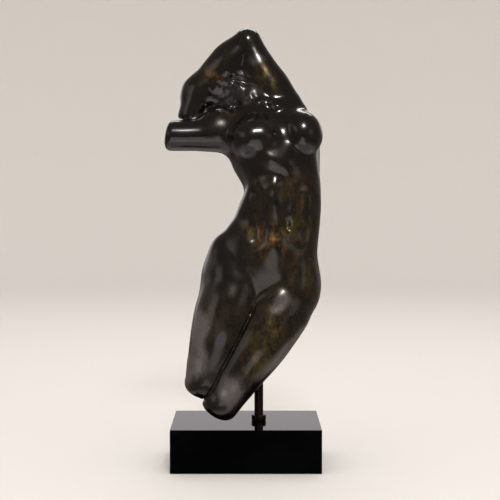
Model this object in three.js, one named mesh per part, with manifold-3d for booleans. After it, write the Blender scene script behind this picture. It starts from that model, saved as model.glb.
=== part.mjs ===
// A bronze torso on a black plinth. The figure is headless and stands on no feet: one arm is folded
// over the top of the body, the other is cut to a short stump, and the legs end at the knees.
// One upright rod with a collar at its foot carries the bronze. Millimetres, +Z up, front towards -Y,
// and the origin at the middle of the plinth's underside.
import * as THREE from "three";
import Module from "manifold-3d";
import { mergeVertices } from "three/addons/utils/BufferGeometryUtils.js";

// Driving dimensions
const PLINTH = { wide: 150, deep: 110, high: 43.5, edge: 0.6 };
const ROD = { x: 13, y: 0, radius: 4.5, sunk: 15, reach: 62 };
const COLLAR = { radius: 7.5, high: 5.5, edge: 0.8 };
const CLEAR = 0.3; // room round the rod in both of its holes, and over the plinth
const FACET = 6.5; // spacing of the facets on the bronze
const SKIN = 0.2; // lift that makes up for the flatness of the facets

// The figure, in millimetres over the plinth's top.
// Trunk sections, from the fork of the legs to the base of the neck: height, middle x and y, tilt and
// turn in degrees, half width, depth in front and behind, and how square the section is.
const TRUNK = [
  [114, 11.0, -2, -8, -6, 40, 22, 30, 2.3],
  [136, 13.0, -1, -8, -6, 51, 27, 36, 2.3],
  [159, 17.0, 1, -8, -6, 54.5, 31, 35, 2.3],
  [182, 25.0, 1, -7, -5, 48, 30, 30, 2.35],
  [204, 31.0, -1, -3, -3, 44, 28, 27, 2.4],
  [224, 35.0, -3, 1, 0, 41, 26, 26, 2.5],
  [246, 37.5, -3, 6, 3, 37.5, 28, 29, 2.5],
  [269, 30.5, -2, 10, 5, 40, 31, 34, 2.45],
  [292, 27.0, 1, 12, 6, 40, 29, 35, 2.3],
  [312, 22.0, 4, 12, 6, 33, 21, 29, 2.2],
  [328, 18.0, 6, 12, 6, 24, 15, 22, 2.1],
];
const TRUNK_TOP = 326;
const TRUNK_FOOT = 120;

// Joints of the figure; -1 is the side on the viewer's left, 1 the side on the right
const HIP = { "-1": [-11, -2, 140], 1: [41, -1, 132] };
const KNEE = { "-1": [-42, -22, 42], 1: [-25, -30, 23] };
const KNEE_CUT = 15;
const OUTWARD = { "-1": 1, 1: 7.5 }; // of the muscle outside each thigh
const ELBOW = [2, 8, 386];
const WRIST = [-49, 22, 334];
const HAND = [-30, 32, 306];
const HEEL = [-57, 12, 312]; // of the wrist, over the stump
const STUMP = [-76, 0, 291];
const NECK_TOP = [-9, 10, 356];
const NECK_BREAK = [-10, -13, 326];

// Small vector sums
const RAD = Math.PI / 180;
const add = (a, b) => [a[0] + b[0], a[1] + b[1], a[2] + b[2]];
const sub = (a, b) => [a[0] - b[0], a[1] - b[1], a[2] - b[2]];
const scale = (a, k) => [a[0] * k, a[1] * k, a[2] * k];
const dot = (a, b) => a[0] * b[0] + a[1] * b[1] + a[2] * b[2];
const unit = (a) => scale(a, 1 / Math.hypot(...a));
const mix = (a, b, t) => a + (b - a) * t;
const clamp = (v, low, high) => Math.min(Math.max(v, low), high);
const mirrored = (p, side) => [p[0] * side, p[1], p[2]];
const ramp = (v, from, to) => {
  const t = clamp((v - from) / (to - from), 0, 1);
  return t * t * (3 - 2 * t);
};

// A frame set in the body: roll lifts its right side, pitch leans its top back, yaw turns its front
// to the right.
class Frame {
  constructor(origin, roll = 0, pitch = 0, yaw = 0) {
    this.origin = origin;
    const turn = new THREE.Euler(-pitch * RAD, -roll * RAD, yaw * RAD, "YZX");
    const e = new THREE.Matrix4().makeRotationFromEuler(turn).elements;
    this.axes = [0, 4, 8].map((i) => [e[i], e[i + 1], e[i + 2]]);
  }

  local(p) {
    const d = sub(p, this.origin);
    return this.axes.map((axis) => dot(axis, d));
  }

  world(q) {
    return this.axes.reduce((sum, axis, i) => add(sum, scale(axis, q[i])), this.origin);
  }
}

const CHEST = new Frame([30, 0, 276], 12, 4, 5);
const WAIST = new Frame([33, -2, 216]);
const PELVIS = new Frame([18, 1, 156], -8, -6, -6);
const BREAST = { "-1": new Frame([-22, -20, 15], 0, 0, -14), 1: new Frame([28, -20, 9], 0, 0, 14) };
const BREAST_SIZE = { "-1": [23, 21.5, 20.5], 1: [20, 20.5, 23] };
const SHOULDER = { "-1": CHEST.world([-35, 6, 24]), 1: [36, 8, 312] };

// Forms, each given as its distance from a point: below zero inside
const join = (a, b, soft) => {
  const h = clamp(0.5 + (0.5 * (b - a)) / soft, 0, 1);
  return b + (a - b) * h - soft * h * (1 - h);
};
const keep = (a, b, soft) => -join(-a, -b, soft);
const cut = (a, b, soft) => keep(a, -b, soft);

function egg(p, centre, radii) {
  const q = sub(p, centre);
  const near = Math.hypot(q[0] / radii[0], q[1] / radii[1], q[2] / radii[2]);
  const steep = Math.hypot(q[0] / radii[0] ** 2, q[1] / radii[1] ** 2, q[2] / radii[2] ** 2);
  return (near * (near - 1)) / (steep + 1e-9);
}

// Value at t of a smooth curve through evenly spaced values
function smooth(values, t) {
  const n = values.length - 1;
  const slope = (i) => {
    const low = Math.max(i - 1, 0);
    const high = Math.min(i + 1, n);
    return (values[high] - values[low]) / (high - low);
  };
  const i = clamp(Math.floor(t * n), 0, n - 1);
  const u = t * n - i;
  const v = 1 - u;
  return (1 + 2 * u) * v * v * values[i] + u * v * v * slope(i)
    + u * u * (3 - 2 * u) * values[i + 1] - u * u * v * slope(i + 1);
}

// A round limb from a to b, with its radii at even steps
function limb(p, a, b, ...radii) {
  const way = sub(b, a);
  const t = clamp(dot(sub(p, a), way) / dot(way, way), 0, 1);
  return Math.hypot(...sub(sub(p, a), scale(way, t))) - smooth(radii, t);
}

// Smooth curves through the trunk's sections, read once a millimetre
const STEPS = Array.from({ length: 242 }, (_, i) => 104 + i);
const heights = TRUNK.map((row) => row[0]);
function sectionSlope(column, i) {
  const last = TRUNK.length - 1;
  if (i === 0 || i === last) {
    const j = i === 0 ? 1 : last;
    return (TRUNK[j][column] - TRUNK[j - 1][column]) / (heights[j] - heights[j - 1]);
  }
  const before = heights[i] - heights[i - 1];
  const after = heights[i + 1] - heights[i];
  const rise = (TRUNK[i + 1][column] - TRUNK[i][column]) / after;
  const come = (TRUNK[i][column] - TRUNK[i - 1][column]) / before;
  return (before * rise + after * come) / (before + after);
}
function sectionAt(column, z) {
  const found = heights.findIndex((h) => h >= z);
  const i = clamp((found < 0 ? heights.length : found) - 1, 0, TRUNK.length - 2);
  const h = heights[i + 1] - heights[i];
  const t = clamp((z - heights[i]) / h, 0, 1);
  return (1 + 2 * t) * (1 - t) ** 2 * TRUNK[i][column] + t * (1 - t) ** 2 * h * sectionSlope(column, i)
    + t * t * (3 - 2 * t) * TRUNK[i + 1][column] + t * t * (t - 1) * h * sectionSlope(column, i + 1);
}
const CURVES = TRUNK[0].map((_, column) => STEPS.map((z) => sectionAt(column, z)));
function read(column, z) {
  const at = clamp(z - STEPS[0], 0, STEPS.length - 1);
  const i = Math.min(Math.floor(at), STEPS.length - 2);
  return mix(CURVES[column][i], CURVES[column][i + 1], at - i);
}

function trunk(p) {
  let z = p[2];
  for (let round = 0; round < 4; round++) {
    z = p[2] - (p[0] - read(1, z)) * Math.tan(read(3, z) * RAD);
  }
  const [x, y, roll, yaw, half, front, back, square] = [1, 2, 3, 4, 5, 6, 7, 8].map((i) => read(i, z));
  const across = (p[0] - x) * Math.cos(roll * RAD) + (p[2] - z) * Math.sin(roll * RAD);
  const through = p[1] - y;
  const u = across * Math.cos(yaw * RAD) + through * Math.sin(yaw * RAD);
  const v = through * Math.cos(yaw * RAD) - across * Math.sin(yaw * RAD);
  const depth = v < 0 ? front : back;
  const f = (Math.abs(u / half) ** square + Math.abs(v / depth) ** square) ** (1 / square) + 1e-9;
  const d = Math.max((Math.hypot(u, v) * (f - 1)) / f, -30);
  return keep(keep(d, z - TRUNK_TOP, 14), TRUNK_FOOT - z, 14);
}

function leg(p, side) {
  const hip = HIP[side];
  const knee = KNEE[side];
  const way = sub(knee, hip);
  const along = (t, shift) => add(add(hip, scale(way, t)), shift);
  let d = limb(p, hip, knee, 33, 31, 25, 19.5);
  d = join(d, limb(p, along(0.2, [OUTWARD[side], -5, 0]), along(0.8, [side * 3, -4, 0]), 26.5, 25, 16), 10);
  d = join(d, limb(p, along(0.5, [side * -4, -6, 0]), along(0.92, [side * -3, -4, 0]), 14, 16.5, 13), 9);
  d = join(d, limb(p, along(0.25, [side * -5, 8, 0]), along(0.8, [side * -2, 7, 0]), 24, 24, 16), 12);
  d = join(d, egg(p, along(1, [0, -9, 2]), [12, 11, 13]), 9);
  const end = unit(add(unit(way), [0, 0.35, 0]));
  return keep(d, dot(sub(p, knee), end) - KNEE_CUT, 9);
}

// The whole figure
function figure(p) {
  const chest = CHEST.local(p);
  const waist = WAIST.local(p);
  const pelvis = PELVIS.local(p);
  const sides = [-1, 1];
  let d = trunk(p);

  // ribcage, belly and hips
  d = join(d, egg(chest, [0, 1, -4], [40, 32.5, 46]), 8);
  for (const side of sides) {
    const m = mirrored(chest, side);
    d = join(d, limb(m, [6, -27.5, -20], [21, -20, -42], 5, 4, 1), 13);
  }
  for (const side of sides) {
    const m = mirrored(waist, side);
    d = join(d, limb(m, [10, -15, 30], [9, -16, -10], 9, 9.5, 9), 14);
  }
  d = join(d, egg(waist, [-1, -14, 11], [28, 21, 34]), 12);
  d = join(d, limb(waist, [-1, -14, -10], [-5, -16, -32], 13, 17.5), 12);
  d = join(d, egg(pelvis, [1, -11, 6], [38, 19, 34]), 16);
  d = join(d, egg(pelvis, [0, -17, -25], [15, 12, 15]), 7);
  for (const side of sides) {
    const m = mirrored(pelvis, side);
    d = join(d, egg(m, [25, 17, -12], [27, 27, 32]), 9);
    d = join(d, egg(m, [32, -9, 20], [9, 8, 14]), 18);
  }
  d = join(d, egg(pelvis, [-44, -1, 14], [12, 16, 14]), 10);

  // legs: crisp where they meet in front, soft at the outside and behind
  const legs = join(leg(p, -1), leg(p, 1), 3.5);
  const soft = 4 + 16 * ramp(Math.abs(pelvis[0]), 22, 48) + 8 * ramp(pelvis[1], 0, 30);
  d = join(d, legs, soft);

  // chest and shoulder blades
  for (const side of sides) {
    const m = mirrored(chest, side);
    d = join(d, limb(m, [8, -22, 14], [29, -5, 32], 9, 11), 13);
    d = join(d, limb(m, [34, 8, 12], [31, 8, -28], 12.5, 10.5, 5), 12);
    d = join(d, egg(m, [24, 25, 14], [17, 10, 24]), 9);
    d = join(d, limb(m, [7, -18.5, 41], [28, -6, 43], 3, 3, 3.5), 8);
  }

  // breasts: crisp at their outer edges, soft towards the breastbone and the shoulder
  d = join(d, egg(chest, [-4, -18, -3], [19, 15, 20]), 14);
  const inward = ramp(chest[0], -34, -10);
  const upward = ramp(chest[2], 14, 32);
  d = join(d, egg(BREAST["-1"].local(chest), [0, 0, 0], BREAST_SIZE["-1"]), 4.5 + 11 * inward);
  d = join(d, egg(BREAST[1].local(chest), [0, 0, 0], BREAST_SIZE[1]), 3.5 + 6 * upward);

  // the raised upper arm, the stump and its shoulder, and the forearm folded over them, with its
  // hand behind the far shoulder
  const up = SHOULDER[1];
  const down = SHOULDER["-1"];
  d = join(d, limb(p, up, ELBOW, 18, 17.5, 16, 13), 11);
  d = join(d, limb(p, add(up, [6, -1, 14]), add(ELBOW, [13, -1, -26]), 12, 15, 11), 9);
  d = join(d, limb(p, down, STUMP, 20, 17.5, 16, 15.5), 11);
  d = join(d, egg(p, add(down, [-18, -1, 8]), [21, 17, 19.5]), 7);
  const forearm = limb(p, add(ELBOW, [-1, 1, 0]), WRIST, 13.5, 19, 18, 15);
  const folded = join(forearm, limb(p, WRIST, HAND, 14, 14, 12), 14);
  const heel = keep(limb(p, add(WRIST, [1, -7, 4]), HEEL, 14.5, 12.5), HEEL[2] - 3.5 - p[2], 3);
  d = join(d, join(folded, heel, 8), 7);

  // the lumpy mass left between the arms, and the neck, broken off short
  const lumps = 1.6 * Math.sin(p[0] * 0.21 + p[2] * 0.13 + 7)
    * Math.sin(p[2] * 0.24 - p[0] * 0.09 + 11);
  d = join(d, egg(p, [-7, 19, 340], [38, 19, 32]) - lumps, 12);
  const neck = limb(p, CHEST.world([-5, 0, 36]), NECK_TOP, 18.5, 15, 11);
  const broken = keep(neck, dot(sub(p, NECK_BREAK), unit([-0.15, -0.75, 0.62])), 3);
  d = join(d, join(broken, limb(p, [13, -9, 322], [30, -8, 317], 6, 5), 5), 5);

  // hollows: the belly's sides and middle, the navel, the breastbone, the pit of the neck, the spine
  for (const side of sides) {
    const m = mirrored(waist, side);
    d = cut(d, limb(m, [24, -28, 16], [23, -30, -28], 1.5, 1.5, 1.5), 13);
  }
  d = cut(d, limb(waist, [4, -38.5, 30], [8, -38, -6], 2, 2), 10);
  d = cut(d, egg(waist, [8, -31, -15], [2.4, 4, 4.6]), 6);
  d = cut(d, limb(chest, [7, -40, 8], [3, -32, 35], 3, 2.5), 12);
  d = cut(d, egg(chest, [0, -25, 43], [4, 5, 4]), 8);
  d = cut(d, limb(chest, [0, 43, -46], [0, 39, 26], 5, 5), 10);
  d = cut(d, limb(pelvis, [0, 48, -40], [0, 42, 12], 3, 2), 7);

  // the flat end of the stump
  if (p[0] < -40) {
    d = keep(d, dot(sub(p, STUMP), unit([-1, 0.1, 0.16])) - 5, 7);
  }
  return d - SKIN;
}

// Faceting: one point in every cell of a grid that the surface crosses, one four-sided facet for
// every grid edge that it crosses
const LOW = [-95, -70, -8];
const HIGH = [95, 70, 412];

function facets(form, step) {
  const size = LOW.map((low, i) => Math.ceil((HIGH[i] - low) / step) + 1);
  const index = (i, j, k) => (i * size[1] + j) * size[2] + k;
  const values = new Float64Array(size[0] * size[1] * size[2]);
  for (let i = 0; i < size[0]; i++) {
    for (let j = 0; j < size[1]; j++) {
      for (let k = 0; k < size[2]; k++) {
        values[index(i, j, k)] = form([LOW[0] + i * step, LOW[1] + j * step, LOW[2] + k * step]);
      }
    }
  }
  const cells = new Map();
  const rings = [];
  const around = [[-1, -1], [0, -1], [0, 0], [-1, 0]];
  for (let i = 0; i < size[0] - 1; i++) {
    for (let j = 0; j < size[1] - 1; j++) {
      for (let k = 0; k < size[2] - 1; k++) {
        for (let axis = 0; axis < 3; axis++) {
          const here = [i, j, k];
          const next = [i, j, k];
          next[axis] += 1;
          const a = values[index(...here)];
          const b = values[index(...next)];
          if (a < 0 === b < 0) continue;
          const crossing = here.map((v, n) => LOW[n] + v * step);
          crossing[axis] += (step * a) / (a - b);
          const [one, two] = [0, 1, 2].filter((n) => n !== axis);
          const ring = around.map(([da, db]) => {
            const cell = [i, j, k];
            cell[one] += da;
            cell[two] += db;
            const key = index(...cell);
            if (!cells.has(key)) cells.set(key, { sum: [0, 0, 0], count: 0, id: cells.size });
            const found = cells.get(key);
            found.sum = add(found.sum, crossing);
            found.count += 1;
            return found.id;
          });
          rings.push((a < 0) === (axis !== 1) ? ring : ring.reverse());
        }
      }
    }
  }
  const points = [...cells.values()].map((cell) => scale(cell.sum, 1 / cell.count));
  return { points, rings };
}

// Evens out the spacing of the points and lays every one of them on the surface
function settle(form, points, rings, rounds) {
  for (let round = 0; round < rounds; round++) {
    const sum = points.map(() => [0, 0, 0]);
    const count = points.map(() => 0);
    for (const ring of rings) {
      ring.forEach((a, i) => {
        const b = ring[(i + 1) % 4];
        sum[a] = add(sum[a], points[b]);
        sum[b] = add(sum[b], points[a]);
        count[a] += 1;
        count[b] += 1;
      });
    }
    points.forEach((point, i) => {
      const p = scale(add(point, scale(sum[i], 1 / count[i])), 0.5);
      const step = 0.05;
      const slope = [0, 1, 2].map((axis) => {
        const shift = [0, 0, 0];
        shift[axis] = step;
        return (form(add(p, shift)) - form(sub(p, shift))) / (2 * step);
      });
      points[i] = sub(p, scale(slope, form(p) / Math.max(dot(slope, slope), 0.05)));
    });
  }
}

function figureGeometry() {
  const { points, rings } = facets(figure, FACET);
  settle(figure, points, rings, 3);
  const triangles = [];
  const far = (a, b) => Math.hypot(...sub(points[a], points[b]));
  for (const [a, b, c, d] of rings) {
    if (far(a, c) < far(b, d)) triangles.push(a, b, c, a, c, d);
    else triangles.push(b, c, d, b, d, a);
  }
  const geometry = new THREE.BufferGeometry();
  geometry.setAttribute("position", new THREE.Float32BufferAttribute(points.flat(), 3));
  geometry.setIndex(triangles);
  return geometry;
}

// Joining and cutting of closed bodies
const wasm = await Module();
wasm.setup();

function solid(geometry) {
  const bare = geometry.clone();
  bare.deleteAttribute("normal");
  bare.deleteAttribute("uv");
  const merged = mergeVertices(bare, 1e-4);
  return new wasm.Manifold(new wasm.Mesh({
    numProp: 3,
    vertProperties: new Float32Array(merged.attributes.position.array),
    triVerts: new Uint32Array(merged.index.array),
  }));
}

function geometryOf(body) {
  const mesh = body.getMesh();
  const geometry = new THREE.BufferGeometry();
  geometry.setAttribute("position", new THREE.Float32BufferAttribute(Array.from(mesh.vertProperties), 3));
  geometry.setIndex(Array.from(mesh.triVerts));
  geometry.computeVertexNormals();
  return geometry;
}

// An upright round bar between two heights
function bar(radius, from, to, x = 0, y = 0) {
  const geometry = new THREE.CylinderGeometry(radius, radius, to - from, 40);
  geometry.rotateX(Math.PI / 2);
  geometry.translate(x, y, (from + to) / 2);
  return geometry;
}

// A disc, or a ring when it has a hole, with its outer edges broken
function turnedRing(outer, inner, high, edge) {
  const profile = [
    [inner, 0], [outer - edge, 0], [outer, edge], [outer, high - edge], [outer - edge, high], [inner, high],
    [inner, 0],
  ].map(([r, z]) => new THREE.Vector2(r, z));
  const geometry = new THREE.LatheGeometry(profile, 48);
  geometry.rotateX(Math.PI / 2);
  return geometry;
}

// A block whose upper and upright edges are all broken a little
function plinthGeometry({ wide, deep, high, edge }) {
  const outline = new THREE.Shape();
  const x = wide / 2 - edge;
  const y = deep / 2 - edge;
  outline.moveTo(-x, -y);
  outline.lineTo(x, -y);
  outline.lineTo(x, y);
  outline.lineTo(-x, y);
  outline.closePath();
  const geometry = new THREE.ExtrudeGeometry(outline, {
    depth: high - 2 * edge, bevelEnabled: true, bevelThickness: edge, bevelSize: edge, bevelSegments: 1,
  });
  geometry.translate(0, 0, edge);
  return geometry;
}

// Materials
const bronze = new THREE.MeshStandardMaterial({ color: 0x2a2018, roughness: 0.22, metalness: 0.9 });
const darkSteel = new THREE.MeshStandardMaterial({ color: 0x1d1815, roughness: 0.3, metalness: 0.9 });
const blackStone = new THREE.MeshStandardMaterial({ color: 0x070707, roughness: 0.08, metalness: 0 });

const group = new THREE.Group();
function place(name, geometry, material, z = 0) {
  const mesh = new THREE.Mesh(geometry, material);
  mesh.name = name;
  mesh.position.z = z;
  group.add(mesh);
}

// The plinth, with the socket that the rod stands in
const socket = bar(ROD.radius + CLEAR, PLINTH.high - ROD.sunk - CLEAR, PLINTH.high + 10, ROD.x, ROD.y);
place("plinth", geometryOf(solid(plinthGeometry(PLINTH)).subtract(solid(socket))), blackStone);

// The rod, from its socket up into the bronze
place("mounting_rod", bar(ROD.radius, -ROD.sunk, ROD.reach, ROD.x, ROD.y), darkSteel, PLINTH.high);

// The collar, resting on the plinth around the rod
const collar = turnedRing(COLLAR.radius, ROD.radius + CLEAR, COLLAR.high, COLLAR.edge);
collar.translate(ROD.x, ROD.y, CLEAR);
place("rod_collar", collar, darkSteel, PLINTH.high);

// The torso, with the blind hole that the rod goes up into
const hole = bar(ROD.radius + CLEAR, -8, ROD.reach + CLEAR, ROD.x, ROD.y);
place("torso", geometryOf(solid(figureGeometry()).subtract(solid(hole))), bronze, PLINTH.high);

export default group;
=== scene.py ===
# %% [markdown]
# # A dark bronze torso on a black plinth
# The object is a table bronze: a headless figure with one arm folded over the top, the other cut to
# a stump, and legs that end at the knees. A rod with a collar at its foot carries it over a block of
# polished black stone. This lesson loads the measured frame first, so that every piece made here
# lands in the right place at the right size.

# %% Load the frame
import math

import bmesh
import bpy
import numpy as np
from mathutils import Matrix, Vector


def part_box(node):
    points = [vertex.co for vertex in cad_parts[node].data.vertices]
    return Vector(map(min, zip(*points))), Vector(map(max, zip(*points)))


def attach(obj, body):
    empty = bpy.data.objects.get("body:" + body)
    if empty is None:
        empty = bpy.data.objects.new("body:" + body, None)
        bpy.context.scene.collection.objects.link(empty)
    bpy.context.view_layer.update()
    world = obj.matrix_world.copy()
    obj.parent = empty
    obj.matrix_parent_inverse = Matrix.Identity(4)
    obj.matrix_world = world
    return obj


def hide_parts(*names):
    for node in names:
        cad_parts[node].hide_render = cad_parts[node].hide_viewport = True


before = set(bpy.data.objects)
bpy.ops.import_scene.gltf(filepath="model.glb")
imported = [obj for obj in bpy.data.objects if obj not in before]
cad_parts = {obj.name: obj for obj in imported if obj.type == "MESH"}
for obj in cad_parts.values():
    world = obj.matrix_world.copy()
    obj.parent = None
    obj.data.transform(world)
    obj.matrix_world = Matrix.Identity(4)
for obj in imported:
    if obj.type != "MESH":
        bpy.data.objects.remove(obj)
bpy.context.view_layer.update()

MM = 0.001
RAD = math.pi / 180
BODY = "root"
scene = bpy.context.scene
plinth_low, plinth_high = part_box("plinth")
collar_low, collar_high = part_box("rod_collar")
rod_low, rod_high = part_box("mounting_rod")
PLINTH_TOP = plinth_high.z
print("plinth top at", round(PLINTH_TOP / MM, 2), "mm")

# %% [markdown]
# ## The camera
# The photograph was taken from just below the height of the breasts, a little over a metre and a
# quarter away, looking down by three degrees. Turning the camera down frames the plinth without a
# lens shift, so other angles stay centred too. The image is square, so the focal length in pixels
# turns into a lens length by the sensor's width.

# %% Camera
IMAGE = 500
FOCAL_PIXELS = 1268
LOOK_DOWN = 2.95
EYE = (0.004, -1.291, 0.2848)

camera_data = bpy.data.cameras.new("camera")
camera_data.sensor_width = 36
camera_data.lens = camera_data.sensor_width * FOCAL_PIXELS / IMAGE
camera = bpy.data.objects.new("camera", camera_data)
camera.location = EYE
camera.rotation_euler = ((90 - LOOK_DOWN) * RAD, 0, 0)
scene.collection.objects.link(camera)
scene.camera = camera
print("lens", round(camera_data.lens, 1), "mm")

# %% [markdown]
# ## A body built from formulas
# A sculptor builds a figure from lumps of clay pressed into one another. A distance formula does the
# same in code: it is below zero inside a lump and above zero outside, and a soft minimum of two such
# formulas is the two lumps pressed together with a fillet between them. That suits flesh far better
# than moving vertices about, because every swelling has a centre, radii and a softness with a name.
# All lengths here are millimetres, and heights are counted from the plinth's top.

# %% Soft joins and cuts
def join(a, b, soft):
    """Two forms pressed together, with a fillet about `soft` wide."""
    h = np.clip(0.5 + 0.5 * (b - a) / soft, 0, 1)
    return b + (a - b) * h - soft * h * (1 - h)


def keep(a, b, soft):
    """What two forms share."""
    return -join(-a, -b, soft)


def cut(a, b, soft):
    """The first form with the second scooped out of it."""
    return keep(a, -b, soft)


def ramp(value, low, high):
    """0 below `low`, 1 above `high`, and smooth between them."""
    t = np.clip((value - low) / (high - low), 0, 1)
    return t * t * (3 - 2 * t)


# %% Eggs and limbs
def egg(p, centre, radii):
    """Distance to an egg with three radii."""
    q = p - np.array(centre, float)
    radii = np.array(radii, float)
    near = np.sqrt(((q / radii) ** 2).sum(1))
    steep = np.sqrt(((q / radii ** 2) ** 2).sum(1)) + 1e-9
    return near * (near - 1) / steep


def smooth(values, t):
    """A smooth curve through evenly spaced values, read at t from 0 to 1."""
    values = np.array(values, float)
    last = len(values) - 1
    slope = np.gradient(values)
    i = np.clip((t * last).astype(int), 0, last - 1)
    u = t * last - i
    v = 1 - u
    return ((1 + 2 * u) * v * v * values[i] + u * v * v * slope[i]
            + u * u * (3 - 2 * u) * values[i + 1] - u * u * v * slope[i + 1])


def limb(p, start, end, *radii):
    """Distance to a round limb whose radii are given at even steps from start to end."""
    start = np.array(start, float)
    way = np.array(end, float) - start
    t = np.clip((p - start) @ way / (way @ way), 0, 1)
    q = p - start - t[:, None] * way
    return np.sqrt((q ** 2).sum(1)) - smooth(radii, t)


def unit(v):
    """The same direction, one long."""
    v = np.array(v, float)
    return v / np.linalg.norm(v)


def falloff(p, place, reach):
    """1 at the place, dying away over `reach`, which is one length or three."""
    return np.exp(-(((p - np.array(place, float)) / reach) ** 2).sum(1))


# %% [markdown]
# ## Frames set in the body
# The figure leans: its chest tilts one way and its hips the other. Muscles are placed in the chest's,
# the waist's and the hips' own frames, so that left and right are mirror images there although they
# aren't in the room.

# %% Frames of chest, waist and hips
class Frame:
    """Roll lifts the right side, pitch leans the top back, yaw turns the front to the right."""

    def __init__(self, origin, roll=0.0, pitch=0.0, yaw=0.0):
        a, b, c = roll * RAD, pitch * RAD, yaw * RAD
        rolled = np.array([[math.cos(a), 0, -math.sin(a)], [0, 1, 0], [math.sin(a), 0, math.cos(a)]])
        pitched = np.array([[1, 0, 0], [0, math.cos(b), math.sin(b)], [0, -math.sin(b), math.cos(b)]])
        yawed = np.array([[math.cos(c), -math.sin(c), 0], [math.sin(c), math.cos(c), 0], [0, 0, 1]])
        self.origin = np.array(origin, float)
        self.axes = rolled @ yawed @ pitched

    def local(self, p):
        """Points of the room in this frame."""
        return (p - self.origin) @ self.axes

    def world(self, q):
        """A point of this frame in the room."""
        return self.origin + self.axes @ np.array(q, float)


CHEST = Frame((30, 0, 276), roll=12, pitch=4, yaw=5)
WAIST = Frame((33, -2, 216))
PELVIS = Frame((18, 1, 156), roll=-8, pitch=-6, yaw=-6)
BREAST = {-1: Frame((-22, -20, 15), yaw=-14), 1: Frame((28, -20, 9), yaw=14)}
BREAST_SIZE = {-1: (23, 21.5, 20.5), 1: (20, 20.5, 23)}
SIDES = (-1, 1)

HIP = {-1: np.array((-11.0, -2, 140)), 1: np.array((41.0, -1, 132))}
KNEE = {-1: np.array((-42.0, -22, 42)), 1: np.array((-25.0, -30, 23))}
OUTWARD = {-1: 1.0, 1: 7.5}
SHOULDER = {-1: CHEST.world((-35, 6, 24)), 1: np.array((36.0, 8, 312))}
ELBOW = np.array((2.0, 8, 386))
WRIST = np.array((-49.0, 22, 334))
HAND = np.array((-30.0, 32, 306))
STUMP = np.array((-76.0, 0, 291))
HEEL = np.array((-57.0, 12, 312))
NECK_TOP = np.array((-9.0, 10, 356))
NECK_BREAK = np.array((-10.0, -13, 326))
BREAK_FACES = unit((-0.15, -0.75, 0.62))
KNEE_CUT = 15
HEEL_CUT = 3.5
STUMP_END = unit((-1, 0.1, 0.16))
STUMP_CUT = 5
STUMP_SIDE = -40

# %% [markdown]
# ## The trunk
# The trunk is a loft: eleven sections from the fork of the legs to the base of the neck, each a
# rounded rectangle with its own middle, tilt, turn, width and depth. Smooth curves run through the
# sections, so the S of the spine and the waist come out of a short table.

# %% Trunk sections
# height, middle x and y, tilt, turn, half width, depth in front, depth behind, squareness
TRUNK = np.array([
    [114, 11.0, -2, -8, -6, 40, 22, 30, 2.3],
    [136, 13.0, -1, -8, -6, 51, 27, 36, 2.3],
    [159, 17.0, 1, -8, -6, 54.5, 31, 35, 2.3],
    [182, 25.0, 1, -7, -5, 48, 30, 30, 2.35],
    [204, 31.0, -1, -3, -3, 44, 28, 27, 2.4],
    [224, 35.0, -3, 1, 0, 41, 26, 26, 2.5],
    [246, 37.5, -3, 6, 3, 37.5, 28, 29, 2.5],
    [269, 30.5, -2, 10, 5, 40, 31, 34, 2.45],
    [292, 27.0, 1, 12, 6, 40, 29, 35, 2.3],
    [312, 22.0, 4, 12, 6, 33, 21, 29, 2.2],
    [328, 18.0, 6, 12, 6, 24, 15, 22, 2.1],
])
TRUNK_TOP = 326
TRUNK_FOOT = 120
STEPS = np.arange(104.0, 346.0, 1.0)


def spline(heights, values, at):
    """A smooth curve through unevenly spaced values."""
    slope = np.gradient(values, heights)
    i = np.clip(np.searchsorted(heights, at) - 1, 0, len(heights) - 2)
    h = heights[i + 1] - heights[i]
    t = np.clip((at - heights[i]) / h, 0, 1)
    return ((1 + 2 * t) * (1 - t) ** 2 * values[i] + t * (1 - t) ** 2 * h * slope[i]
            + t * t * (3 - 2 * t) * values[i + 1] + t * t * (t - 1) * h * slope[i + 1])


CURVES = [spline(TRUNK[:, 0], column, STEPS) for column in TRUNK.T]


def trunk(p):
    """Distance to the lofted trunk."""
    z = p[:, 2].copy()
    for _ in range(4):
        middle = np.interp(z, STEPS, CURVES[1])
        tilt = np.interp(z, STEPS, CURVES[3]) * RAD
        z = p[:, 2] - (p[:, 0] - middle) * np.tan(tilt)
    x, y, roll, yaw, half, front, back, square = (np.interp(z, STEPS, c) for c in CURVES[1:])
    roll = roll * RAD
    yaw = yaw * RAD
    across = (p[:, 0] - x) * np.cos(roll) + (p[:, 2] - z) * np.sin(roll)
    through = p[:, 1] - y
    u = across * np.cos(yaw) + through * np.sin(yaw)
    v = through * np.cos(yaw) - across * np.sin(yaw)
    depth = np.where(v < 0, front, back)
    f = ((np.abs(u) / half) ** square + (np.abs(v) / depth) ** square) ** (1 / square) + 1e-9
    d = np.maximum(np.hypot(u, v) * (f - 1) / f, -30)
    return keep(keep(d, z - TRUNK_TOP, 14), TRUNK_FOOT - z, 14)


# %% [markdown]
# ## Ribs, belly and hips
# Low swellings give the trunk its anatomy: the ribcage and the arch under it, the two long muscles
# of the belly, the soft lower belly and the seat.

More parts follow.
